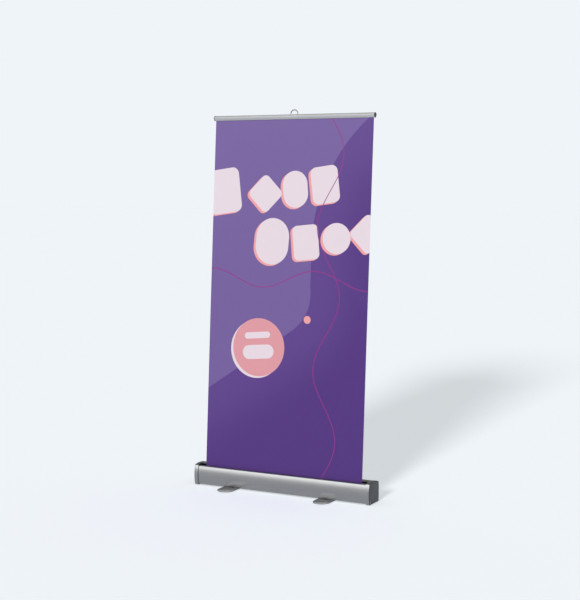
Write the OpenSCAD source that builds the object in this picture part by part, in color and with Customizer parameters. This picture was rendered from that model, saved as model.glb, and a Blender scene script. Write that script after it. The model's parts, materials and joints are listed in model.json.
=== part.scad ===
// Roll-up banner stand: a base with a sprung roller, a telescopic pole behind the banner,
// and a hinged clamping rail along the banner's top edge. Front is -Y and Z = 0 is the floor.

/* [Base] */
// Length of the base over its end caps
base_len = 1120; // [1080:10:1200]
// Thickness of each end cap along the base
cap_t = 24; // [20:1:30]
// Depth of the base at its foot, front edge to back
base_depth = 121.5; // [118:0.5:126]
// Height of the silver cover's top lip
lip_z = 114; // [112:1:116]
// Height of the domed roof at its crown
roof_z = 124.5; // [122:0.5:128]
// How far the front bulges at mid height
front_bulge = 9.5; // [6:0.5:14]
// How far the end caps stand proud of the cover
cap_proud = 2.5; // [1.5:0.5:4]
// Wall thickness of the extrusions
wall = 2; // [1.6:0.1:2.6]

/* [Banner] */
// Width of the banner
banner_w = 1000; // [960:10:1000]
// Height of the banner between the slot and the rail
banner_h = 2000; // [1900:10:2050]
// How far the banner leans back
banner_lean = 3.77; // [3.4:0.01:4]
// Thickness of the banner film
film_t = 0.5; // [0.3:0.1:0.6]

/* [Feet] */
// Length of each swivel foot
foot_len = 340; // [300:5:350]
// Width of each swivel foot
foot_w = 99; // [80:1:110]
// Place of the left foot's pivot along the base
left_foot_x = -317; // [-330:1:-300]
// Place of the right foot's pivot along the base
right_foot_x = 295; // [280:1:310]
// How far the foot is turned: 0 is across the base, 90 is stowed
foot_turn = 0; // [0:1:90]

/* [Pole] */
// How far the pole leans back
pole_lean = 2.35; // [2.2:0.01:2.5]
// Outer radius of the lower tube
lower_tube_r = 11; // [10.5:0.5:12]
// Outer radius of the middle tube
middle_tube_r = 9; // [8.5:0.5:9.5]
// Outer radius of the top tube
top_tube_r = 7; // [6:0.5:7.5]
// Radial clearance of a running fit
fit = 0.06; // [0.02:0.01:0.1]

/* [Rail] */
// Length of the top rail without its end caps
rail_len = 1012; // [1004:1:1020]
// Largest depth of the rail, front to back
rail_d = 25; // [22:0.5:28]
// Height of the rail
rail_h = 27.5; // [25:0.5:30]

/* [Hidden] */
$fn = 96;
eps = 0.01;

silver = [0.72, 0.73, 0.75];
graphite = [0.25, 0.25, 0.27];
black = [0.08, 0.08, 0.09];
nylon = [0.85, 0.85, 0.82];
steel = [0.55, 0.56, 0.58];
violet = [0.34, 0.24, 0.52];

// Base section: y is the depth and z the height, both measured on the end caps
front_y = 60 - base_depth;
back_y = 60;
cap_z = 1;                                  // the caps stand on pads this thick
front_mid_z = (cap_z + lip_z + 1) / 2;
front_half = (lip_z + 1 - cap_z) / 2;
front_r = (front_half ^ 2 + front_bulge ^ 2) / (2 * front_bulge);
front_c = [front_y - front_bulge + front_r, front_mid_z];
dome_r = 230;
dome_y = -12;
corner_r = 9;
corner_top_z = roof_z - dome_r + sqrt((dome_r - corner_r) ^ 2 - (back_y - corner_r - dome_y) ^ 2);
floor_z = 8;                                // underside of the extrusion
half_in = base_len / 2 - cap_t;             // inner face of the end caps
cap_bevel = 2.5;
cap_recess = 6;
cap_face_y = front_y + cap_proud + 1.5;     // where the plastic cap meets its silver trim
cover_y = front_y + cap_proud;              // foot of the silver cover
web_y = cover_y + 4.5;                      // flat web behind the cover
far = 200;                                  // reaches past the whole section

// Round top of the silver cover, tangent to its bulging front
cover_r = front_r - cap_proud;
lip_r = 8;
lip_c = [front_c[0] - sqrt((cover_r - lip_r) ^ 2 - (lip_z - lip_r - front_mid_z) ^ 2), lip_z - lip_r];
lip_way = (lip_c - front_c) / (cover_r - lip_r);
ledge_z = lip_z - wall - 0.2;               // top of the ledge that carries it

// Fastenings
port_r = 4.5;                               // screw ports, against the profile's walls
port_places = [[54, 13.5], [54, 103], [-50, 13.5]];
thread_r = 1.75;
screw_r = 1.7;
screw_clear_r = 2.1;

// Banner line and slot
slot_y = -33;
slot_z = lip_z + 2;
slot_w = 9;
slot_front = slot_y - slot_w / 2;
brush_gap = 1.6;                            // from the film's middle to each brush
brush_h = 4.4;
lean_t = tan(banner_lean);
top_y = slot_y + banner_h * sin(banner_lean);
top_z = slot_z + banner_h * cos(banner_lean);
banner_hidden = 54;                         // film inside the base at rest
banner_in_rail = 15;                        // film inside the rail's jaw

// Roller
roller_z = 58;
roll_r = 21;
roller_r = 19;
roller_bore = 17.5;
roller_half = 505;
roller_y = slot_y - (slot_z - roller_z) * lean_t + (roll_r + 0.65) / cos(banner_lean);
arbor_r = 4;
arbor_end = -150;

// Swivel feet
foot_z = 1;
foot_t = 6;
bolt_r = 4;
head_r = 7;
head_t = 2.8;
foot_top = foot_z + foot_t;

// Pole, measured along its own axis from its foot
pole_foot = [0, 28, 72];
socket_r = 13.5;
flange_rise = 2.5;                          // the socket's flange above the roof
flange_screw_x = 20;
flange_screw_y = pole_foot[1] + 3;
tube_r = [lower_tube_r, middle_tube_r, top_tube_r];
tube_wall = [1.2, 1.1, 1];
plug_h = 4;                                 // foot plug outside the lower tube
guide_h = 30;
lower_end = 720;
middle_span = [640, 1380];
top_foot = 1300;
collar_h = 45;
collar_below = 20;
pin_r = 5;
pin_h = 18;
bracket_z = -26;                            // foot of the bracket below the rail
pole_top = (top_z + bracket_z * cos(pole_lean) - pole_foot[2]) / cos(pole_lean);

// Rail, measured from the point where the banner enters it
rail_wall = 1.8;
rail_core_z = rail_h - rail_d / 2;
rail_foot_half = 5;
hinge_y = -5.5;
hinge_z = rail_core_z + 6.2;
bead_r = 2;
knuckle_r = 3.6;
rail_cap_t = 3.5;

// Pull loop
loop_r = 22;
wire_r = 3;
loop_y = rail_d / 2 + 4.5;
loop_rise = 30;                             // top of the wire above the rail
loop_arc_z = rail_h + loop_rise - loop_r - wire_r;
bracket_half = 30;
plate_screw_x = 14;
plate_back = loop_y + wire_r + 1.5;         // back face of the bracket's plate

module bar_x(x0, x1) {
    // Extrudes a (y, z) outline along X
    translate([x0, 0, 0]) rotate([90, 0, 90]) linear_extrude(x1 - x0) children();
}

module rod_x(x0, x1, r, y = 0, z = 0) {
    translate([x0, y, z]) rotate([0, 90, 0]) cylinder(h = x1 - x0, r = r);
}

module ring_x(x0, x1, r, bore, y = 0, z = 0) {
    difference() {
        rod_x(x0, x1, r, y, z);
        rod_x(x0 - 1, x1 + 1, bore, y, z);
    }
}

module tube(h, r, bore) {
    difference() {
        cylinder(h = h, r = r);
        translate([0, 0, -1]) cylinder(h = h + 2, r = bore);
    }
}

module round_box(low, high, r) {
    // Rectangle from low to high with round corners
    translate([low[0] + r, low[1]]) square([high[0] - low[0] - 2 * r, high[1] - low[1]]);
    translate([low[0], low[1] + r]) square([high[0] - low[0], high[1] - low[1] - 2 * r]);
    for (y = [low[0] + r, high[0] - r], z = [low[1] + r, high[1] - r])
        translate([y, z]) circle(r);
}

module base_outline(inset = 0) {
    // Bulging front, domed roof and round back corners
    intersection() {
        translate(front_c) circle(front_r - inset, $fn = 360);
        translate([dome_y, roof_z - dome_r]) circle(dome_r - inset, $fn = 360);
        round_box([front_y - 20, cap_z + inset], [back_y - inset, roof_z + 20], corner_r - inset);
        back_top_round(inset);
    }
}

module back_top_round(inset) {
    // Rounds the back top corner, tangent to the dome and the back
    y0 = back_y - corner_r;
    reach = [y0 - dome_y, corner_top_z - roof_z + dome_r] / (dome_r - corner_r) * 30;
    translate([front_y - 20, 0]) square([back_y - inset - front_y + 20, corner_top_z]);
    translate([y0, corner_top_z]) circle(corner_r - inset);
    polygon([[front_y - 20, 0], [y0, 0], [y0, corner_top_z],
        [y0 + reach[0], corner_top_z + reach[1]], [front_y - 20, corner_top_z + reach[1]]]);
}

module at_roller() {
    translate([0, roller_y, roller_z]) children();
}

module on_pole(s = 0) {
    translate(pole_foot) rotate([-pole_lean, 0, 0]) translate([0, 0, s]) children();
}

module on_rail() {
    translate([0, top_y, top_z]) rotate([-banner_lean, 0, 0]) children();
}

// ---- Base ----

module base_profile() {
    color(black) difference() {
        union() {
            bar_x(-half_in, half_in) profile_section();
            bar_x(-half_in, half_in) for (p = port_places) translate(p) circle(port_r);
        }
        for (p = port_places) rod_x(-half_in - 1, half_in + 1, thread_r, p[0], p[1]);
        for (x = [left_foot_x, right_foot_x])
            translate([x, 0, floor_z - 1]) cylinder(h = wall + 2, r = bolt_r);
        on_pole(20) cylinder(h = 80, r = socket_r);
        flange_holes();
    }
}

module flange_holes() {
    for (x = [-flange_screw_x, flange_screw_x])
        translate([x, flange_screw_y, roof_z - 25]) cylinder(h = 40, r = thread_r);
}

module profile_section() {
    // Floor, back wall, slotted roof, and a flat web with a ledge behind the silver cover
    difference() {
        intersection() {
            base_outline(1);
            translate([web_y, floor_z]) square(far);
        }
        intersection() {
            base_outline(1 + wall);
            translate([web_y + wall, floor_z + wall]) square(far);
        }
        translate([slot_front, lip_z - 10]) square([slot_w, 40]);
        translate([web_y - 1, ledge_z]) square([slot_front - web_y + 2, 40]);
    }
    translate([web_y, ledge_z - wall]) square([slot_front - web_y, wall]);
}

module cover_shape(inset, end_y) {
    // Everything behind the cover's face, back to end_y
    edge_z = front_c[1] + lip_way[1] * (cover_r - inset);
    intersection() {
        translate(front_c) circle(cover_r - inset, $fn = 360);
        translate([front_y - 20, -1]) square([end_y - front_y + 20, edge_z + 1]);
    }
    translate(lip_c) circle(lip_r - inset);
    translate([lip_c[0], front_mid_z]) square([end_y - lip_c[0], lip_z - inset - front_mid_z]);
}

module front_cover() {
    color(silver) bar_x(-half_in + 0.4, half_in - 0.4) {
        difference() {
            cover_shape(0, slot_front);
            cover_shape(wall, slot_front + 1);
            translate([front_y - 20, -2]) square([far, floor_z + 1.5]);
        }
        // Short return along the foot
        translate([cover_y - 0.5, floor_z - 0.5]) square([4.2, 1.8]);
    }
}

module end_cap() {
    // Right-hand cap: a thick plate with a bevelled outer edge and a shallow inner recess
    x0 = half_in;
    x1 = base_len / 2;
    x2 = x1 - cap_bevel;
    difference() {
        union() {
            bar_x(x0, x2) intersection() {
                base_outline();
                translate([cap_face_y, 0]) square(far);
            }
            hull() {
                bar_x(x2 - eps, x2) base_outline($fn = 64);
                bar_x(x1 - eps, x1) base_outline(cap_bevel, $fn = 64);
            }
        }
        bar_x(x0 - 1, x0 + cap_recess) intersection() {
            base_outline(cap_recess);
            translate([cap_face_y + 10.5, 0]) square(far);
        }
        for (p = port_places) {
            rod_x(x0 - 1, x1 + 1, screw_clear_r, p[0], p[1]);
            rod_x(x1 - 3.4, x1 + 1, 4, p[0], p[1]);
        }
    }
    // Bosses around the screws bridge the recess
    for (p = port_places) ring_x(x0, x0 + cap_recess + 1, 5, screw_clear_r, p[0], p[1]);
}

module left_end_cap() {
    color(graphite) mirror([1, 0, 0]) end_cap();
}

module right_end_cap() {
    color(graphite) end_cap();
}

module cap_trim() {
    // Silver strip over the front of the cap
    color(silver) bar_x(half_in + 0.2, base_len / 2 - cap_bevel - 0.1) intersection() {
        difference() {
            base_outline();
            translate([cap_face_y, -1]) square(far);
        }
        translate([front_y - 20, cap_z]) square([60, lip_z + 1.5 - cap_z]);
    }
}

module left_cap_trim() {
    mirror([1, 0, 0]) cap_trim();
}

module right_cap_trim() {
    cap_trim();
}

module cap_screw() {
    x1 = base_len / 2;
    difference() {
        union() {
            rod_x(x1 - 44, x1 - 3, screw_r);
            rod_x(x1 - 3.4, x1 - 0.8, 3.8);
        }
        rotate([0, 90, 0]) translate([0, 0, x1 - 2.4]) cylinder(h = 3, r = 1.6, $fn = 6);
    }
}

module cap_screws() {
    color(steel) for (side = [0, 1], p = port_places)
        mirror([side, 0, 0]) translate([0, p[0], p[1]]) cap_screw();
}

module base_pads() {
    color(black) for (side = [-1, 1], y = [-38, 36])
        translate([side * (base_len / 2 - cap_t / 2) - 8, y - 12, 0]) cube([16, 24, cap_z]);
}

module slot_brushes() {
    // A strip on each side of the slot, with the film running between them
    color(black) for (side = [-1, 1])
        bar_x(-banner_w / 2 - 4, banner_w / 2 + 4) {
            foot_z = side < 0 ? lip_z - brush_h - 0.1 : slot_z + 2.5;
            film_y = slot_y + (foot_z + brush_h / 2 - slot_z) * lean_t + side * brush_gap;
            edge_y = slot_y + side * slot_w / 2;
            translate([min(film_y, edge_y), foot_z]) square([abs(edge_y - film_y), brush_h]);
        }
}

module pole_socket() {
    // Flanged cup let into the roof; the flange follows the pole's tilt
    color(graphite) difference() {
        union() {
            on_pole(-plug_h) cylinder(h = 54, r = socket_r - 0.1);
            intersection() {
                translate([-30, pole_foot[1] - 18, roof_z - 10]) linear_extrude(14)
                    round_box([0, 0], [60, 38], 8);
                bar_x(-40, 40) difference() {
                    base_outline(-flange_rise);
                    base_outline(1);
                }
            }
        }
        on_pole(0) cylinder(h = 80, r = tube_r[0] + fit);
        flange_holes();
    }
}

module socket_screws() {
    color(steel) for (x = [-flange_screw_x, flange_screw_x])
        translate([x, flange_screw_y, roof_z - 0.9]) {
            translate([0, 0, -15]) cylinder(h = 15.5, r = screw_r);
            difference() {
                cylinder(h = 2.2, r = 3.2);
                translate([0, 0, 1]) cylinder(h = 2, r = 1.5, $fn = 6);
            }
        }
}

// ---- Swivel feet ----

module foot_outline(inset = 0) {
    half = foot_len / 2 - foot_w / 2;
    translate([-foot_w / 2 + inset, -half]) square([foot_w - 2 * inset, 2 * half]);
    for (y = [-half, half]) translate([0, y]) circle(foot_w / 2 - inset);
}

module foot(x) {
    bevel = 1.2;
    translate([x, 0, foot_z]) rotate(foot_turn) difference() {
        union() {
            linear_extrude(foot_t - bevel) foot_outline();
            hull() {
                translate([0, 0, foot_t - bevel - eps]) linear_extrude(eps) foot_outline();
                translate([0, 0, foot_t - eps]) linear_extrude(eps) foot_outline(bevel);
            }
        }
        translate([0, 0, -1]) cylinder(h = foot_t + 2, r = bolt_r + fit);
        translate([0, 0, -1]) cylinder(h = head_t + 1.4, r = head_r + 0.4);
    }
}

module foot_pads(x) {
    translate([x, 0, 0]) rotate(foot_turn)
        for (side = [-1, 1], dx = [-22, 22])
            translate([dx, side * (foot_len / 2 - foot_w / 2), 0]) cylinder(h = foot_z, r = 9);
}

module left_foot() {
    color(graphite) foot(left_foot_x);
}

module right_foot() {
    color(graphite) foot(right_foot_x);
}

module left_foot_pads() {
    color(black) foot_pads(left_foot_x);
}

module right_foot_pads() {
    color(black) foot_pads(right_foot_x);
}

module at_feet() {
    for (x = [left_foot_x, right_foot_x]) translate([x, 0, 0]) children();
}

module foot_bolts() {
    color(steel) at_feet() difference() {
        union() {
            translate([0, 0, foot_z + 0.2]) cylinder(h = head_t, r = head_r);
            translate([0, 0, foot_z + 0.2]) cylinder(h = 18, r = bolt_r);
        }
        cylinder(h = foot_z + 2, r = 2.5, $fn = 6);
    }
}

module foot_washers() {
    color(nylon) at_feet() translate([0, 0, foot_top])
        tube(floor_z - foot_top, 14, bolt_r + fit);
}

module foot_nuts() {
    color(steel) at_feet() translate([0, 0, floor_z + wall]) difference() {
        cylinder(h = 6.5, r = 7.5, $fn = 6);
        translate([0, 0, -1]) cylinder(h = 9, r = bolt_r);
    }
}

// ---- Roller and spring ----

module end_bracket() {
    // Block on the inside of a cap, around the roller's axis
    x0 = half_in - 18;
    union() {
        bar_x(x0, half_in + 6) translate([roller_y, roller_z])
            round_box([-15, -15], [15, 15], 5);
        bar_x(half_in, half_in + 6) translate([roller_y, roller_z])
            round_box([-24, -24], [24, 24], 5);
    }
}

module arbor_bracket() {
    color(graphite) mirror([1, 0, 0]) difference() {
        end_bracket();
        rod_x(half_in - 30, half_in + 4, arbor_r, roller_y, roller_z);
    }
}

module spring_arbor() {
    color(steel) at_roller() rod_x(-half_in - 4, arbor_end, arbor_r);
}

module spring_anchor() {
    // Hub that ties the inner end of the spring to the arbor
    color(nylon) at_roller() ring_x(arbor_end - 22, arbor_end - 2, 12, arbor_r);
}

module torsion_spring() {
    // Close-wound coils, drawn as a ribbed sleeve around the arbor
    pitch = 6;
    turns = 48;
    x0 = arbor_end - 24 - pitch * turns;
    inner = 8.5;
    outer = 11;
    ribs = [for (i = [0:turns - 1]) for (k = [0, 1])
        [k == 0 ? outer - 1.2 : outer, x0 + pitch * (i + k / 2)]];
    color(steel) at_roller() rotate([0, 90, 0])
        rotate_extrude() polygon(concat(ribs,
            [[outer - 1.2, x0 + pitch * turns], [inner, x0 + pitch * turns], [inner, x0]]));
}

module roller_tube() {
    color(silver) at_roller() ring_x(-roller_half, roller_half, roller_r, roller_bore);
}

module banner_roll() {
    // The leader's last turns on the roller
    color(nylon) at_roller() ring_x(-banner_w / 2, banner_w / 2, roll_r, roller_r);
}

module roller_plug(bore) {
    // Right-hand plug: a flange outside the tube and a sleeve inside it
    difference() {
        union() {
            rod_x(roller_half, roller_half + 4, roller_r);
            rod_x(roller_half - 30, roller_half + 1, roller_bore);
        }
        rod_x(roller_half - 40, roller_half + 10, bore);
    }
}

module spring_end_plug() {
    color(nylon) at_roller() mirror([1, 0, 0]) roller_plug(arbor_r + fit);
}

module idle_end_plug() {
    color(nylon) at_roller() {
        roller_plug(arbor_r - 1);
        rod_x(roller_half - 20, half_in - 4, arbor_r);
    }
}

module idle_bush() {
    color(nylon) at_roller() ring_x(half_in - 18, half_in - 2, 8, arbor_r + fit);
}

module idle_bracket() {
    color(graphite) difference() {
        end_bracket();
        rod_x(half_in - 30, half_in - 2, 8, roller_y, roller_z);
        rod_x(half_in - 30, half_in + 2, arbor_r + 1, roller_y, roller_z);
    }
}

// ---- Telescopic pole ----

module lower_tube() {
    color(silver) on_pole(plug_h)
        tube(lower_end - plug_h, tube_r[0], tube_r[0] - tube_wall[0]);
}

module lower_tube_plug() {
    color(black) on_pole(0) {
        cylinder(h = plug_h, r = tube_r[0] - 0.2);
        cylinder(h = 26, r = tube_r[0] - tube_wall[0]);
    }
}

module middle_tube() {
    color(silver) on_pole(middle_span[0])
        tube(middle_span[1] - middle_span[0], tube_r[1], tube_r[1] - tube_wall[1]);
}

module top_tube() {
    color(silver) on_pole(top_foot)
        tube(pole_top - top_foot, tube_r[2], tube_r[2] - tube_wall[2]);
}

module slide_plug(tube_i) {
    // Plug under a tube, running in the bore of the tube below it
    difference() {
        union() {
            translate([0, 0, -8])
                cylinder(h = 8, r = tube_r[tube_i - 1] - tube_wall[tube_i - 1] - fit);
            cylinder(h = 16, r = tube_r[tube_i] - tube_wall[tube_i]);
        }
        translate([0, 0, -9]) cylinder(h = 30, r = 2.5);
    }
}

module middle_slide_plug() {
    color(black) on_pole(middle_span[0]) slide_plug(1);
}

module top_slide_plug() {
    color(black) on_pole(top_foot) slide_plug(2);
}

module guide_bush(tube_i, s) {
    // Bush in the mouth of a tube, around the next tube
    on_pole(s - guide_h)
        tube(guide_h, tube_r[tube_i] - tube_wall[tube_i], tube_r[tube_i + 1] + fit);
}

module lower_guide_bush() {
    color(nylon) guide_bush(0, lower_end);
}

module upper_guide_bush() {
    color(nylon) guide_bush(1, middle_span[1]);
}

module lock_collar(tube_i, s) {
    // Twist collar with grip flutes, turning on the outside of the tube below
    outer = tube_r[tube_i] + 5;
    flutes = 12;
    on_pole(s - collar_below) difference() {
        union() {
            translate([0, 0, 2]) cylinder(h = collar_h - 4, r = outer);
            cylinder(h = collar_h, r = outer - 1.5);
        }
        translate([0, 0, -1]) cylinder(h = collar_below + 1.3, r = tube_r[tube_i] + 0.3);
        cylinder(h = collar_h + 2, r = tube_r[tube_i + 1] + 0.3);
        for (i = [0:flutes - 1]) rotate(i * 360 / flutes)
            translate([outer + 0.8, 0, 7]) cylinder(h = collar_h - 14, r = 2);
    }
}

module lower_lock_collar() {
    color(black) lock_collar(0, lower_end);
}

module upper_lock_collar() {
    color(black) lock_collar(1, middle_span[1]);
}

module pole_top_pin() {
    color(black) on_pole(pole_top) {
        translate([0, 0, -20]) cylinder(h = 20, r = tube_r[2] - tube_wall[2]);
        cylinder(h = 3, r = tube_r[2] + 1);
        cylinder(h = pin_h, r = pin_r);
    }
}

// ---- Rail ----

module rail_outline(inset = 0) {
    // Teardrop: a round head that narrows towards the banner
    r = rail_d / 2;
    slope = atan((r - rail_foot_half) / rail_core_z);
    shift = inset / cos(slope);
    translate([0, rail_core_z]) circle(r - inset);
    polygon([[-r + shift, rail_core_z], [-rail_foot_half + shift, inset],
        [rail_foot_half - shift, inset], [r - shift, rail_core_z]]);
}

module rail_back() {
    // Rear half, the roof as far as the hinge, and the flat wall that the film lies on
    mouth = [[0, 0], [0, -1.9], [-30, -1.9], [-30, 30], [-12, 30]];
    color(silver) on_rail() difference() {
        bar_x(-rail_len / 2, rail_len / 2) difference() {
            union() {
                difference() {
                    rail_outline();
                    rail_outline(rail_wall);
                    translate([-30, -5]) square([30.4, hinge_z + 5]);
                    translate([hinge_y, hinge_z]) polygon(mouth);
                }
                translate([0.4, 0]) square([1.8, hinge_z + 2]);
                translate([hinge_y, hinge_z]) circle(knuckle_r, $fn = 48);
                translate([hinge_y + 1, hinge_z + 1.2]) square([6, 2.4]);
            }
            translate([hinge_y, hinge_z]) circle(bead_r + fit, $fn = 48);
            translate([hinge_y, hinge_z]) polygon(mouth);
        }
    }
}

module rail_front_jaw() {
    // Front half, hung from a bead that turns in the rail's knuckle
    color(silver) on_rail() bar_x(-rail_len / 2 + 1, rail_len / 2 - 1) {
        difference() {
            rail_outline();
            rail_outline(rail_wall);
            translate([-3.6, -5]) square([40, 60]);
            translate([-30, hinge_z - 0.8]) square([60, 30]);
            translate([hinge_y, hinge_z]) circle(knuckle_r + 0.5, $fn = 48);
        }
        translate([hinge_y, hinge_z]) circle(bead_r, $fn = 48);
        difference() {
            translate([-rail_d / 2 + 2.4, hinge_z - 1.6]) square([rail_d / 2 - 7.4, 1.2]);
            translate([hinge_y, -10]) square([30, 60]);
        }
        // Lip that presses the film
        translate([-4.4, 0]) square([2.2, 5]);
    }
}

module jaw_grip_strip() {
    color(black) on_rail() bar_x(-rail_len / 2 + 4, rail_len / 2 - 4)
        translate([-2.2, 0.4]) square([1.8, 4.2]);
}

module rail_cap() {
    // Right-hand cap: an end plate, bevelled outside, with a tongue in the rear hollow
    x0 = rail_len / 2;
    on_rail() {
        bar_x(x0, x0 + rail_cap_t - 1) rail_outline(-0.6);
        bar_x(x0 + rail_cap_t - 1, x0 + rail_cap_t) rail_outline(0.4);
        bar_x(x0 - 12, x0) intersection() {
            rail_outline(rail_wall + 0.1);
            translate([2.4, 3]) square([20, 16]);
        }
    }
}

module left_rail_cap() {
    color(graphite) mirror([1, 0, 0]) rail_cap();
}

module right_rail_cap() {
    color(graphite) rail_cap();
}

module rail_bracket() {
    // Screwed to the rail's back: holds the pull loop and takes the pole's top pin
    plate_y = rail_d / 2;
    color(graphite) difference() {
        union() {
            on_rail() translate([-bracket_half, plate_y, rail_core_z - 8])
                cube([2 * bracket_half, plate_back - plate_y, 19]);
            on_rail() translate([-8, 3, bracket_z + 8]) cube([16, plate_y + 2, 30]);
            on_pole(pole_top + 3.2) cylinder(h = pin_h + 4, r = 9);
        }
        on_rail() bar_x(-60, 60) rail_outline(-0.02);
        on_pole(pole_top - 1) cylinder(h = pin_h + 1.5, r = pin_r + fit);
        on_rail() translate([-40, -20, bracket_z - 10]) cube([80, 22.5, 70]);
        on_rail() for (x = [-loop_r, loop_r])
            translate([x, loop_y, rail_core_z - 4]) cylinder(h = 40, r = wire_r);
        on_rail() for (x = [-plate_screw_x, plate_screw_x])
            translate([x, 0, rail_core_z]) rotate([-90, 0, 0]) cylinder(h = 40, r = thread_r);
    }
}

module bracket_screws() {
    color(steel) on_rail() for (x = [-plate_screw_x, plate_screw_x])
        translate([x, plate_back, rail_core_z]) rotate([-90, 0, 0]) difference() {
            union() {
                translate([0, 0, -8]) cylinder(h = 8.5, r = screw_r);
                cylinder(h = 1.8, r = 3.2);
            }
            translate([0, 0, 0.9]) cylinder(h = 2, r = 1.4, $fn = 6);
        }
}

module pull_loop() {
    // Bent steel wire: two legs in the bracket and a half ring
    color(steel) on_rail() {
        for (x = [-loop_r, loop_r])
            translate([x, loop_y, rail_core_z - 4])
                cylinder(h = loop_arc_z - rail_core_z + 4, r = wire_r);
        translate([0, loop_y, loop_arc_z]) rotate([90, 0, 0])
            rotate_extrude(angle = 180) translate([loop_r, 0]) circle(wire_r, $fn = 32);
    }
}

// ---- Banner ----

module banner_sheet() {
    color(violet) on_rail()
        translate([-banner_w / 2, -film_t / 2, -banner_h - banner_hidden])
            cube([banner_w, film_t, banner_h + banner_hidden + banner_in_rail]);
}

base_profile();
front_cover();
left_end_cap();
right_end_cap();
left_cap_trim();
right_cap_trim();
cap_screws();
base_pads();
slot_brushes();
pole_socket();
socket_screws();
foot_bolts();
foot_washers();
foot_nuts();
arbor_bracket();
spring_arbor();
torsion_spring();
spring_anchor();
idle_bracket();
idle_bush();
roller_tube();
banner_roll();
spring_end_plug();
idle_end_plug();
left_foot();
left_foot_pads();
right_foot();
right_foot_pads();
lower_tube();
lower_tube_plug();
lower_guide_bush();
lower_lock_collar();
middle_tube();
middle_slide_plug();
upper_guide_bush();
upper_lock_collar();
top_tube();
top_slide_plug();
pole_top_pin();
rail_back();
rail_front_jaw();
jaw_grip_strip();
left_rail_cap();
right_rail_cap();
rail_bracket();
bracket_screws();
pull_loop();
banner_sheet();
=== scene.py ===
# Roll-up banner stand: new pieces, materials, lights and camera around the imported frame.
import json
import math
import bpy
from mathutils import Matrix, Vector

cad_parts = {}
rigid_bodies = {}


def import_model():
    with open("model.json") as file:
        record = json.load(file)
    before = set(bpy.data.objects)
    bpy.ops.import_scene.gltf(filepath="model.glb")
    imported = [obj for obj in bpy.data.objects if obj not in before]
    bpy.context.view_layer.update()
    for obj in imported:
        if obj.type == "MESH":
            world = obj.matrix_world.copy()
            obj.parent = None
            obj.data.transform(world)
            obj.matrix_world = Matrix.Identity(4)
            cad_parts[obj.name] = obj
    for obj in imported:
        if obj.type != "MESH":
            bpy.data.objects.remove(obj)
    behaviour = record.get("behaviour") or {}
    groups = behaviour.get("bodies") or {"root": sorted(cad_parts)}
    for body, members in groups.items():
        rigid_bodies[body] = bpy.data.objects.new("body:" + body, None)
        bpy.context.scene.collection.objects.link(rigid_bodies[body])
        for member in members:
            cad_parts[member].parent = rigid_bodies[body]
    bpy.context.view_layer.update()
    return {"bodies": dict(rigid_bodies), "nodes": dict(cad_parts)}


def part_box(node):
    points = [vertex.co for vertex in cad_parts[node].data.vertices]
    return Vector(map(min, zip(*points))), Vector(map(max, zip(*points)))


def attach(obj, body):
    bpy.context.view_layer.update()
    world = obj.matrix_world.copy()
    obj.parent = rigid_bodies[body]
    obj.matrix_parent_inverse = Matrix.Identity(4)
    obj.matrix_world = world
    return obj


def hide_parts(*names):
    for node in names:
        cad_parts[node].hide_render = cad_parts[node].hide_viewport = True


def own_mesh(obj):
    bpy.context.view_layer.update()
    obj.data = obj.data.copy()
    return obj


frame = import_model()


# ---- places taken from the frame ----

slotAboveCover = 0.002
filmLow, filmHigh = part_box("banner_sheet")
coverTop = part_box("front_cover")[1].z
filmRise = filmHigh.z - filmLow.z
filmDepth = filmHigh.y - filmLow.y
filmLean = math.atan2(filmDepth, filmRise)                        # close to the banner's lean
alongFilm = Vector((0, math.sin(filmLean), math.cos(filmLean)))
outOfFilm = Vector((0, -math.cos(filmLean), math.sin(filmLean)))  # towards the viewer
filmLength = math.hypot(filmRise, filmDepth)
filmFoot = Vector((0, filmLow.y, filmLow.z))
slotHeight = coverTop + slotAboveCover
slotAlong = (slotHeight - filmLow.z) / math.cos(filmLean)         # from the film's foot to the slot


# ---- camera ----

camera = {
    "place": (3.5731, -6.7100, 1.7882),
    "turn": 27.805,
    "dip": 5.174,
    "lens": 81.49,
    "seesTo": 200,
}
bpy.ops.object.camera_add(location=camera["place"],
                          rotation=(math.radians(90 - camera["dip"]), 0, math.radians(camera["turn"])))
bpy.context.object.data.lens = camera["lens"]
bpy.context.object.data.clip_end = camera["seesTo"]
bpy.context.scene.camera = bpy.context.object
bpy.context.scene.view_settings.view_transform = "Standard"
print("camera placed")


# ---- shader helpers ----

noiseSpan = (0.3, 0.7)          # where most of a noise's values lie


def addNode(tree, kind, inputs=None, **settings):
    made = tree.nodes.new(kind)
    for name, value in settings.items():
        setattr(made, name, value)
    for name, value in (inputs or {}).items():
        if isinstance(value, bpy.types.NodeSocket):
            tree.links.new(value, made.inputs[name])
        else:
            made.inputs[name].default_value = value
    return made


def maths(tree, operation, a, b=0.0):
    return addNode(tree, "ShaderNodeMath", {0: a, 1: b}, operation=operation).outputs[0]


def mixColour(tree, share, a, b):
    return addNode(tree, "ShaderNodeMix", {0: share, 6: a, 7: b}, data_type="RGBA").outputs[2]


def noise(tree, place, scale, detail=3.0, rough=0.55):
    return addNode(tree, "ShaderNodeTexNoise", {"Vector": place, "Scale": scale, "Detail": detail,
                                                "Roughness": rough}).outputs["Fac"]


def stretched(tree, place, scale):
    return addNode(tree, "ShaderNodeMapping", {"Vector": place, "Scale": scale}).outputs[0]


def spread(tree, value, low, high, outLow, outHigh):
    made = addNode(tree, "ShaderNodeMapRange", {0: value, 1: low, 2: high, 3: outLow, 4: outHigh})
    return made.outputs[0]


def overNoise(tree, value, outLow=0.0, outHigh=1.0):
    return spread(tree, value, *noiseSpan, outLow, outHigh)


def grey(level):
    return (level, level, level, 1.0)


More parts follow.
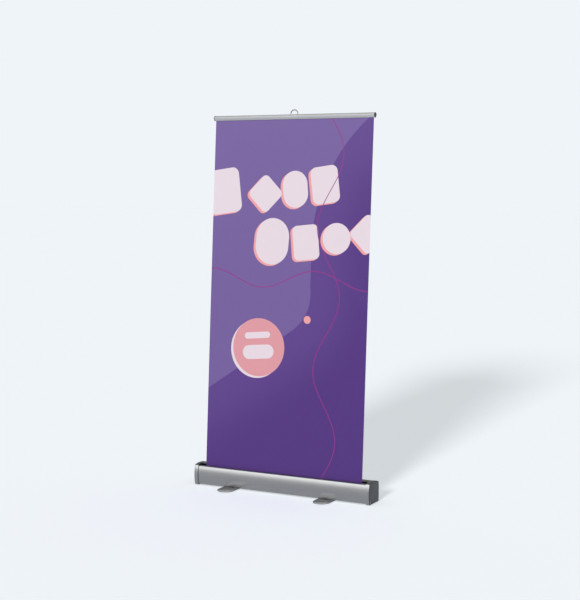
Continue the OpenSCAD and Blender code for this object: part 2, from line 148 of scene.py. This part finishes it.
def newMaterial(name, **sockets):
    material = bpy.data.materials.new(name)
    material.use_nodes = True
    tree = material.node_tree
    shader = tree.nodes["Principled BSDF"]
    for socket, value in sockets.items():
        shader.inputs[socket.replace("_", " ")].default_value = value
    place = tree.nodes.new("ShaderNodeTexCoord").outputs["Object"]
    return material, tree, shader, place


def bump(tree, shader, height, strength, distance):
    made = addNode(tree, "ShaderNodeBump", {"Height": height, "Strength": strength, "Distance": distance})
    tree.links.new(made.outputs[0], shader.inputs["Normal"])


def paint(material, *nodeNames):
    for nodeName in nodeNames:
        node = softPieces.get(nodeName, frame["nodes"][nodeName])
        node.data.materials.clear()
        node.data.materials.append(material)


bodyOf = {node: body for node, made in frame["nodes"].items() for body, empty in frame["bodies"].items()
          if made.parent == empty}


# ---- edges broken on the machined and moulded parts ----

softEdges = {
    "front_cover": 0.0005, "left_cap_trim": 0.0004, "right_cap_trim": 0.0004, "base_profile": 0.0004,
    "left_end_cap": 0.0009, "right_end_cap": 0.0009, "left_foot": 0.0016, "right_foot": 0.0016,
    "pole_socket": 0.0006, "rail_back": 0.0003, "rail_front_jaw": 0.0003, "left_rail_cap": 0.0006,
    "right_rail_cap": 0.0006, "rail_bracket": 0.0008, "lower_lock_collar": 0.0004,
    "upper_lock_collar": 0.0004, "lower_tube": 0.0002, "middle_tube": 0.0002, "top_tube": 0.0002,
    "socket_screws": 0.0003, "bracket_screws": 0.0003, "cap_screws": 0.0003, "foot_bolts": 0.0003,
    "foot_nuts": 0.0004, "arbor_bracket": 0.0008, "idle_bracket": 0.0008, "roller_tube": 0.0003,
    "left_foot_pads": 0.0002, "right_foot_pads": 0.0002, "base_pads": 0.0002,
}
softening = {"segments": 2, "sharpFrom": 32, "flatWithin": 0.4, "sameWithin": 1e-6}   # degrees, metres
softPieces = {}


def pieceName(nodeName):
    first, *rest = nodeName.split("_")
    return first + "".join(word.capitalize() for word in rest)


def softened(nodeName, width):
    # a copy of the frame's mesh with its sharp edges rounded off
    sharp = math.radians(softening["sharpFrom"])
    node = frame["nodes"][nodeName]
    mesh = node.data.copy()
    mesh.transform(node.matrix_world)
    piece = bpy.data.objects.new(pieceName(nodeName), mesh)
    bpy.context.scene.collection.objects.link(piece)
    selectNothing()
    bpy.context.view_layer.objects.active = piece
    piece.select_set(True)
    bpy.ops.object.mode_set(mode="EDIT")
    bpy.ops.mesh.select_all(action="SELECT")
    bpy.ops.mesh.remove_doubles(threshold=softening["sameWithin"])
    bpy.ops.mesh.normals_make_consistent(inside=False)
    bpy.ops.mesh.dissolve_limited(angle_limit=math.radians(softening["flatWithin"]))
    bpy.ops.object.mode_set(mode="OBJECT")
    edge = piece.modifiers.new("edge", "BEVEL")
    edge.width = width
    edge.segments = softening["segments"]
    edge.limit_method = "ANGLE"
    edge.angle_limit = sharp
    edge.use_clamp_overlap = False
    applyModifiers(piece)
    bpy.ops.object.shade_smooth_by_angle(angle=sharp)
    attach(piece, bodyOf[nodeName])
    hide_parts(nodeName)
    return piece


def selectNothing():
    if bpy.context.object and bpy.context.object.mode == "EDIT":
        bpy.ops.object.mode_set(mode="OBJECT")
    bpy.ops.object.select_all(action="DESELECT")


def applyModifiers(piece):
    bpy.context.view_layer.objects.active = piece
    for modifier in list(piece.modifiers):
        bpy.ops.object.modifier_apply(modifier=modifier.name)


for nodeName, width in softEdges.items():
    softPieces[nodeName] = softened(nodeName, width)
print("edges broken on", len(softPieces), "parts")


# ---- metals ----

aluminium = {"clouds": 7.0, "cloudShade": 0.86, "cloudShare": 0.25, "bump": 0.1, "depth": 0.0002}


def satinAluminium(name, tone, roughLow, roughHigh, grain, metal=1.0):
    # grain is the scale of the drawing lines: small along the extrusion, large across it
    material, tree, shader, place = newMaterial(name, Metallic=metal)
    lines = noise(tree, stretched(tree, place, grain), 1.0, 4.0, 0.6)
    clouds = noise(tree, place, aluminium["clouds"], 2.0)
    colour = mixColour(tree, overNoise(tree, lines),
                       (tone * 0.93, tone * 0.94, tone * 0.96, 1), (tone * 1.03, tone * 1.03, tone * 1.04, 1))
    colour = mixColour(tree, spread(tree, clouds, 0.35, 0.7, 0.0, aluminium["cloudShare"]), colour,
                       grey(tone * aluminium["cloudShade"]))
    tree.links.new(colour, shader.inputs["Base Color"])
    tree.links.new(spread(tree, lines, 0.25, 0.75, roughLow, roughHigh), shader.inputs["Roughness"])
    bump(tree, shader, lines, aluminium["bump"], aluminium["depth"])
    return material


steel = {"marks": 420.0, "wear": 60.0, "depth": 0.0001}


def brightSteel(name, tone, rough, pitted=0.12):
    material, tree, shader, place = newMaterial(name, Metallic=1.0)
    marks = noise(tree, place, steel["marks"], 3.0)
    wear = noise(tree, place, steel["wear"], 2.0)
    colour = mixColour(tree, spread(tree, marks, 0.35, 0.65, 0.0, 1.0),
                       (tone * 0.9, tone * 0.9, tone * 0.92, 1), (tone, tone, tone * 1.02, 1))
    tree.links.new(colour, shader.inputs["Base Color"])
    tree.links.new(overNoise(tree, wear, rough * 0.7, rough * 1.4), shader.inputs["Roughness"])
    bump(tree, shader, marks, pitted, steel["depth"])
    return material


powder = {"peel": 900.0, "worn": 22.0, "wornShare": 0.35, "wornPaler": 1.5, "bump": 0.25, "depth": 0.0002}


def powderCoat(name, tone, fleck, rough):
    # painted metal: a fine orange-peel skin with slightly paler worn patches
    material, tree, shader, place = newMaterial(name)
    peel = noise(tree, place, powder["peel"], 2.0)
    worn = noise(tree, place, powder["worn"], 4.0)
    colour = mixColour(tree, overNoise(tree, peel), (*tone, 1), (*fleck, 1))
    colour = mixColour(tree, spread(tree, worn, 0.55, 0.8, 0.0, powder["wornShare"]), colour,
                       (*(c * powder["wornPaler"] for c in fleck), 1))
    tree.links.new(colour, shader.inputs["Base Color"])
    tree.links.new(overNoise(tree, worn, rough * 0.85, rough * 1.2), shader.inputs["Roughness"])
    bump(tree, shader, peel, powder["bump"], powder["depth"])
    return material


# ---- plastics and rubber ----

plastic = {"clouds": 14.0, "darker": 0.86, "paler": 1.14, "depth": 0.0003}


def mouldedPlastic(name, tone, rough, grainScale=650.0, grainDepth=0.3):
    material, tree, shader, place = newMaterial(name, Specular_IOR_Level=0.3)
    grain = addNode(tree, "ShaderNodeTexVoronoi", {"Vector": place, "Scale": grainScale}).outputs["Distance"]
    clouds = noise(tree, place, plastic["clouds"], 3.0)
    colour = mixColour(tree, overNoise(tree, clouds), (*(c * plastic["darker"] for c in tone), 1),
                       (*(c * plastic["paler"] for c in tone), 1))
    tree.links.new(colour, shader.inputs["Base Color"])
    tree.links.new(overNoise(tree, clouds, rough * 0.9, rough * 1.1), shader.inputs["Roughness"])
    bump(tree, shader, grain, grainDepth, plastic["depth"])
    return material


rubber = {"dust": 180.0, "dusty": 2.2, "dustShare": 0.6, "bump": 0.4, "depth": 0.0003}


def softRubber(name, tone):
    material, tree, shader, place = newMaterial(name)
    dust = noise(tree, place, rubber["dust"], 5.0)
    colour = mixColour(tree, spread(tree, dust, 0.5, 0.75, 0.0, rubber["dustShare"]), grey(tone),
                       grey(tone * rubber["dusty"]))
    tree.links.new(colour, shader.inputs["Base Color"])
    tree.links.new(overNoise(tree, dust, 0.75, 0.95), shader.inputs["Roughness"])
    bump(tree, shader, dust, rubber["bump"], rubber["depth"])
    return material


print("metals, plastics and rubber described")


# ---- the printed film, with a painted sheen ----

# print colours, with a glossy sheen painted onto the film as a paler field and a lighter surround
art = {
    "groundFar": (0.051, 0.009, 0.152),      # deep violet, away from the painted sheen
    "sheenGround": (0.075, 0.027, 0.190),     # painted sheen: lighter violet beside the paler field
    "glow": 0.50,                            # how far the painted sheen's lighter violet reaches
    # the painted sheen's paler field
    "field": (0.128, 0.076, 0.252),
    "pale": (0.66, 0.56, 0.61),
    "coral": (0.70, 0.29, 0.30),
    "badge": (0.60, 0.255, 0.285),
    "line": (0.23, 0.010, 0.18),
    "lineShare": 0.85,                       # how well the line covers what is under it
    "lineHalf": 0.0027,                      # half its width
    "back": (0.60, 0.60, 0.62),
    "edgeBlur": 0.0006,
    "sheenBlur": 0.0012,
    "inkGrain": 1800.0,
    "backWeave": 900.0,
    "ripples": (2.0, 1.0, 0.7),              # how the film's slow ripples are stretched
}


def roundedBoxGroup():
    # distance to a rounded box: centre, half size, corner radius and turn
    group = bpy.data.node_groups.new("roundedBox", "ShaderNodeTree")
    for kind, names in (("Vector", ("Place", "Centre", "Half")), ("Float", ("Radius", "Turn"))):
        for name in names:
            group.interface.new_socket(name, in_out="INPUT", socket_type="NodeSocket" + kind)
    group.interface.new_socket("Distance", in_out="OUTPUT", socket_type="NodeSocketFloat")
    given = group.nodes.new("NodeGroupInput").outputs
    turned = addNode(group, "ShaderNodeVectorRotate", {"Vector": given["Place"], "Center": given["Centre"],
                     "Angle": given["Turn"]}, rotation_type="Z_AXIS").outputs[0]

    def vector(operation, a, b=None):
        return addNode(group, "ShaderNodeVectorMath", {0: a} if b is None else {0: a, 1: b},
                       operation=operation)

    offset = vector("ABSOLUTE", vector("SUBTRACT", turned, given["Centre"]).outputs[0]).outputs[0]
    radius = addNode(group, "ShaderNodeCombineXYZ", {0: given["Radius"], 1: given["Radius"]}).outputs[0]
    beyond = vector("SUBTRACT", offset, vector("SUBTRACT", given["Half"], radius).outputs[0]).outputs[0]
    outside = vector("LENGTH", vector("MAXIMUM", beyond, (0, 0, 0)).outputs[0]).outputs["Value"]
    parts = addNode(group, "ShaderNodeSeparateXYZ", {0: beyond}).outputs
    inside = maths(group, "MINIMUM", maths(group, "MAXIMUM", parts[0], parts[1]), 0.0)
    total = maths(group, "SUBTRACT", maths(group, "ADD", outside, inside), given["Radius"])
    addNode(group, "NodeGroupOutput", {0: total})
    return group


# printed shapes: centre across and up from the slot, half size, corner radius, turn in degrees
blocks = [
    ((-0.430, 1.595), (0.105, 0.128), 0.040, -8),
    ((-0.160, 1.582), (0.082, 0.082), 0.030, 45),
    ((0.030, 1.607), (0.078, 0.104), 0.078, -6),
    ((0.216, 1.633), (0.084, 0.104), 0.036, -8),
    ((-0.108, 1.312), (0.105, 0.132), 0.105, 4),
    ((0.106, 1.310), (0.080, 0.098), 0.030, -6),
    ((0.296, 1.336), (0.086, 0.086), 0.086, 0),
    ((0.486, 1.364), (0.082, 0.082), 0.026, 45),
]
sideShift = (-0.0135, -0.0085)
badge = {"centre": (-0.176, 0.706), "radius": 0.166, "rim": (-0.014, -0.010), "bars": [
    ((-0.186, 0.775), (0.082, 0.018), 0.018, -5),
    ((-0.178, 0.680), (0.100, 0.040), 0.040, -5),
]}
dot = {"centre": (0.129, 0.877), "radius": 0.022}
# the painted sheen: a paler field of three overlapping boxes, less a large disc at the upper right
sheenBoxes = [((-1.84, 1.357), (1.5, 1.5), 0.25, -34), ((-1.358, 2.52), (1.5, 1.5), 0.0, 0),
              ((0.5, 2.78), (2.0, 1.5), 0.0, 0)]
sheenDisc = ((1.092, 1.28), (0.951, 0.951), 0.951, 0)
# plain wavy lines: the middle they swing about, the swing and the length of one wave
upWave = {"middle": 0.250, "swing": 0.075, "length": 0.80}
acrossWave = {"middle": 1.100, "swing": 0.050, "length": 0.66}


def waveDistance(tree, along, across, wave):
    # distance to a sine line that runs along one way and swings across it
    turns = 2 * math.pi / wave["length"]
    phase = maths(tree, "MULTIPLY", along, turns)
    bend = maths(tree, "MULTIPLY", maths(tree, "SINE", phase), wave["swing"])
    slope = maths(tree, "MULTIPLY", maths(tree, "COSINE", phase), wave["swing"] * turns)
    steep = maths(tree, "SQRT", maths(tree, "ADD", maths(tree, "MULTIPLY", slope, slope), 1.0))
    away = maths(tree, "SUBTRACT", maths(tree, "SUBTRACT", across, wave["middle"]), bend)
    return maths(tree, "DIVIDE", maths(tree, "ABSOLUTE", away), steep)


def filmPrintAndSheen():
    material, tree, shader, place = newMaterial("filmPrintAndSheen", Specular_IOR_Level=0.3)
    parts = addNode(tree, "ShaderNodeSeparateXYZ", {0: place}).outputs
    up = maths(tree, "DIVIDE", maths(tree, "SUBTRACT", parts[2], slotHeight), math.cos(filmLean))
    print2d = addNode(tree, "ShaderNodeCombineXYZ", {0: parts[0], 1: up}).outputs[0]
    boxGroup = roundedBoxGroup()

    def boxAt(where, centre, half, radius, turn=0.0):
        given = {"Place": where, "Centre": (*centre, 0), "Half": (*half, 0), "Radius": radius,
                 "Turn": math.radians(turn)}
        return addNode(tree, "ShaderNodeGroup", given, node_tree=boxGroup).outputs[0]

    def inked(distance, blur=art["edgeBlur"]):
        return spread(tree, distance, -blur, blur, 1.0, 0.0)

    def nearest(distances):
        # each minimum straight after its distance, so few values wait at once
        found = next(distances)
        for other in distances:
            found = maths(tree, "MINIMUM", found, other)
        return found

    # painted sheen on the ground: lighter beside the paler field, darker away from it
    disc = maths(tree, "MULTIPLY", boxAt(print2d, *sheenDisc), -1.0)
    field = maths(tree, "MAXIMUM", nearest(boxAt(print2d, *box) for box in sheenBoxes), disc)
    sheenFade = addNode(tree, "ShaderNodeMapRange", {0: field, 1: 0.0, 2: art["glow"], 3: 1.0, 4: 0.0},
                   interpolation_type="SMOOTHERSTEP").outputs[0]
    colour = mixColour(tree, maths(tree, "POWER", sheenFade, 1.6), (*art["groundFar"], 1), (*art["sheenGround"], 1))
    colour = mixColour(tree, inked(field, art["sheenBlur"]), colour, (*art["field"], 1))

    # raised-looking blocks: a coral side, then the pale face
    for share in (1.0, 0.66, 0.33):
        moved = addNode(tree, "ShaderNodeVectorMath", {0: print2d, 1: (sideShift[0] * share,
                        sideShift[1] * share, 0)}, operation="SUBTRACT").outputs[0]
        side = nearest(boxAt(moved, *block) for block in blocks)
        colour = mixColour(tree, inked(side), colour, (*art["coral"], 1))
    face = nearest(boxAt(print2d, *block) for block in blocks)
    colour = mixColour(tree, inked(face), colour, (*art["pale"], 1))

    # badge: pale rim, coral disc and two plain bars
    radius = badge["radius"]
    rimCentre = tuple(a + b for a, b in zip(badge["centre"], badge["rim"]))
    colour = mixColour(tree, inked(boxAt(print2d, rimCentre, (radius, radius), radius)), colour,
                       (*art["pale"], 1))
    colour = mixColour(tree, inked(boxAt(print2d, badge["centre"], (radius, radius), radius)), colour,
                       (*art["badge"], 1))
    bars = nearest(boxAt(print2d, *bar) for bar in badge["bars"])
    colour = mixColour(tree, inked(bars), colour, (*art["pale"], 1))

    # wavy lines and a dot
    lines = maths(tree, "MINIMUM", waveDistance(tree, up, parts[0], upWave),
                  waveDistance(tree, parts[0], up, acrossWave))
    line = maths(tree, "SUBTRACT", lines, art["lineHalf"])
    covered = maths(tree, "MULTIPLY", inked(line), art["lineShare"])
    colour = mixColour(tree, covered, colour, (*art["line"], 1))
    spot = boxAt(print2d, dot["centre"], (dot["radius"],) * 2, dot["radius"])
    colour = mixColour(tree, inked(spot), colour, (*art["coral"], 1))

    # fine ink grain, and the grey back of the film
    grain = noise(tree, place, art["inkGrain"], 2.0)
    colour = mixColour(tree, overNoise(tree, grain, 0.0, 0.05), colour, grey(0.5))
    facing = addNode(tree, "ShaderNodeSeparateXYZ",
                     {0: tree.nodes["Texture Coordinate"].outputs["Normal"]}).outputs[1]
    behind = maths(tree, "GREATER_THAN", facing, 0.0)
    weave = noise(tree, stretched(tree, place, (art["backWeave"],) * 3), 1.0, 2.0)
    backColour = mixColour(tree, overNoise(tree, weave), (*art["back"], 1),
                           (*(c * 1.12 for c in art["back"]), 1))
    colour = mixColour(tree, behind, colour, backColour)
    tree.links.new(colour, shader.inputs["Base Color"])
    tree.links.new(maths(tree, "ADD", maths(tree, "MULTIPLY", behind, 0.25),
                         overNoise(tree, grain, 0.24, 0.31)), shader.inputs["Roughness"])
    ripple = noise(tree, stretched(tree, place, art["ripples"]), 1.0, 1.0)
    bump(tree, shader, ripple, 0.15, 0.01)
    return material


# ---- the banner itself ----

film = {
    "columns": 60,
    "rows": 120,
    "bow": 0.0021,          # the middle stands this far behind the edges
    "curl": 0.0025,         # how far the side edges curl
    "thickness": 0.0005,
    "flatEnds": 0.02,       # it stays flat this far from the slot and from the rail
    "ripple": 0.0006,
    "rippleUp": 9,          # how fast the ripple turns, up and across
    "rippleAcross": 3,
    "smoothFrom": 40,
}


def bannerFilm():
    width = filmHigh.x - filmLow.x
    selectNothing()
    bpy.ops.mesh.primitive_grid_add(x_subdivisions=film["columns"], y_subdivisions=film["rows"], size=1)
    piece = bpy.context.object
    piece.name = "bannerFilm"
    slotEnd = slotAlong + film["flatEnds"]
    railEnd = filmLength - film["flatEnds"]
    for vertex in piece.data.vertices:
        across, along = vertex.co.x * width, (vertex.co.y + 0.5) * filmLength
        free = min(1, max(0, (along - slotEnd) / (railEnd - slotEnd)))
        hold = math.sin(math.pi * free)
        side = (2 * across / width) ** 2
        bend = hold * (film["bow"] * (side - 1) + film["curl"] * side ** 4)
        wave = math.sin(film["rippleUp"] * free + film["rippleAcross"] * across)
        ripple = film["ripple"] * hold * wave * (1 - side)
        vertex.co = filmFoot + alongFilm * along + outOfFilm * (bend + ripple) + Vector((across, 0, 0))
    piece.modifiers.new("thickness", "SOLIDIFY").thickness = film["thickness"]
    piece.modifiers["thickness"].offset = 0
    applyModifiers(piece)
    bpy.ops.object.mode_set(mode="EDIT")
    bpy.ops.mesh.select_all(action="SELECT")
    bpy.ops.mesh.normals_make_consistent(inside=False)
    bpy.ops.object.mode_set(mode="OBJECT")
    bpy.ops.object.shade_smooth_by_angle(angle=math.radians(film["smoothFrom"]))
    piece.data.materials.append(filmPrintAndSheen())
    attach(piece, "rail")
    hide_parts("banner_sheet")
    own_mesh(piece)
    return piece


bannerFilm()
print("film made:", round(filmLength, 3), "m long")


# ---- finishes on the parts and their softened copies ----

silver = satinAluminium("silverExtrusion", 0.28, 0.24, 0.34, (2.0, 900.0, 900.0))
tubeSilver = satinAluminium("silverTube", 0.62, 0.24, 0.34, (700.0, 700.0, 3.0))
railSilver = satinAluminium("silverRail", 0.41, 0.46, 0.56, (2.0, 900.0, 900.0), 0.25)
paint(silver, "front_cover", "left_cap_trim", "right_cap_trim", "roller_tube")
paint(railSilver, "rail_back", "rail_front_jaw")
paint(tubeSilver, "lower_tube", "middle_tube", "top_tube")
paint(powderCoat("blackExtrusion", (0.016, 0.016, 0.018), (0.03, 0.03, 0.032), 0.45), "base_profile")
paint(brightSteel("footCoating", 0.33, 0.05, 0.02), "left_foot", "right_foot")
paint(mouldedPlastic("capPlastic", (0.043, 0.046, 0.052), 0.5), "left_end_cap", "right_end_cap",
      "left_rail_cap", "right_rail_cap", "arbor_bracket", "idle_bracket", "rail_bracket", "pole_socket")
paint(mouldedPlastic("blackPlastic", (0.022, 0.022, 0.024), 0.4), "lower_tube_plug", "lower_lock_collar",
      "middle_slide_plug", "upper_lock_collar", "top_slide_plug", "pole_top_pin")
paint(mouldedPlastic("nylon", (0.72, 0.71, 0.66), 0.5, 300.0, 0.1), "foot_washers", "spring_anchor",
      "idle_bush", "spring_end_plug", "idle_end_plug", "lower_guide_bush", "upper_guide_bush")
paint(mouldedPlastic("leaderFilm", (0.70, 0.70, 0.72), 0.35, 120.0, 0.05), "banner_roll")
paint(softRubber("padRubber", 0.02), "base_pads", "left_foot_pads", "right_foot_pads", "jaw_grip_strip")
paint(softRubber("brushPile", 0.012), "slot_brushes")
paint(brightSteel("zincSteel", 0.55, 0.32), "cap_screws", "socket_screws", "foot_bolts", "foot_nuts",
      "spring_arbor", "torsion_spring", "bracket_screws")
paint(brightSteel("polishedWire", 0.22, 0.12), "pull_loop")
print("finishes set")


# ---- floor, light and backdrop ----

studio = {
    "backdrop": (0.863, 0.905, 0.939),       # seen behind the stand
    "floor": (0.880, 0.922, 0.957),
    "floorSize": 120,
    "floorDrop": 0.0004,                     # below the pads, so that no faces coincide
    "floorGlow": 0.385,                      # keeps the soft shadows under the stand light
    "sky": 0.35,
    "skyMirrored": 0.75,
    "striplight": (6.0, 14.0, 42.0, 60.0),   # heights where it starts, is full, fades and ends
    "stripPower": 2.5,
    "sunTurn": 6.8,                          # degrees round from the front, towards -X
    "sunHeight": 21.4,
    "sunPower": 2.1,
    "sunSoftness": 10.0,
}


def backdropAndFloor():
    bpy.ops.mesh.primitive_plane_add(size=studio["floorSize"], location=(0, 0, -studio["floorDrop"]))
    floor = bpy.context.object
    floor.name = "floor"
    material = bpy.data.materials.new("paleFloor")
    material.use_nodes = True
    tree = material.node_tree
    tree.nodes.clear()
    matt = addNode(tree, "ShaderNodeBsdfDiffuse", {"Color": (*studio["floor"], 1)})
    glow = addNode(tree, "ShaderNodeEmission", {"Color": (*studio["floor"], 1),
                                                "Strength": studio["floorGlow"]})
    both = addNode(tree, "ShaderNodeAddShader", {0: matt.outputs[0], 1: glow.outputs[0]})
    addNode(tree, "ShaderNodeOutputMaterial", {"Surface": both.outputs[0]})
    floor.data.materials.append(material)


def studioLight():
    # an even sky for the matt surfaces; a brighter one and a long striplight, parallel to
    # the stand, that only reflections see
    world = bpy.data.worlds.new("studio")
    bpy.context.scene.world = world
    world.use_nodes = True
    tree = world.node_tree
    direction = tree.nodes.new("ShaderNodeTexCoord").outputs["Generated"]
    paths = tree.nodes.new("ShaderNodeLightPath").outputs
    parts = addNode(tree, "ShaderNodeSeparateXYZ", {0: direction}).outputs
    height = maths(tree, "ARCTAN2", parts[2], maths(tree, "MULTIPLY", parts[1], -1.0))
    low, full, fading, high = (math.radians(angle) for angle in studio["striplight"])
    box = maths(tree, "MULTIPLY", spread(tree, height, low, full, 0.0, studio["stripPower"]),
                spread(tree, height, fading, high, 1.0, 0.0))
    mirrored = maths(tree, "ADD", box, studio["skyMirrored"] - studio["sky"])
    light = maths(tree, "ADD", maths(tree, "MULTIPLY", mirrored, paths["Is Glossy Ray"]), studio["sky"])
    colour = mixColour(tree, paths["Is Camera Ray"],
                       addNode(tree, "ShaderNodeCombineXYZ", {0: light, 1: light, 2: light}).outputs[0],
                       (*studio["backdrop"], 1))
    tree.links.new(colour, tree.nodes["Background"].inputs["Color"])
    turn, lift = math.radians(studio["sunTurn"]), math.radians(studio["sunHeight"])
    bpy.ops.object.light_add(type="SUN", rotation=(math.pi / 2 - lift, 0, turn))
    bpy.context.object.visible_glossy = False
    sun = bpy.context.object.data
    sun.energy = studio["sunPower"]
    sun.angle = math.radians(studio["sunSoftness"])


selectNothing()
backdropAndFloor()
studioLight()
print("studio lit")
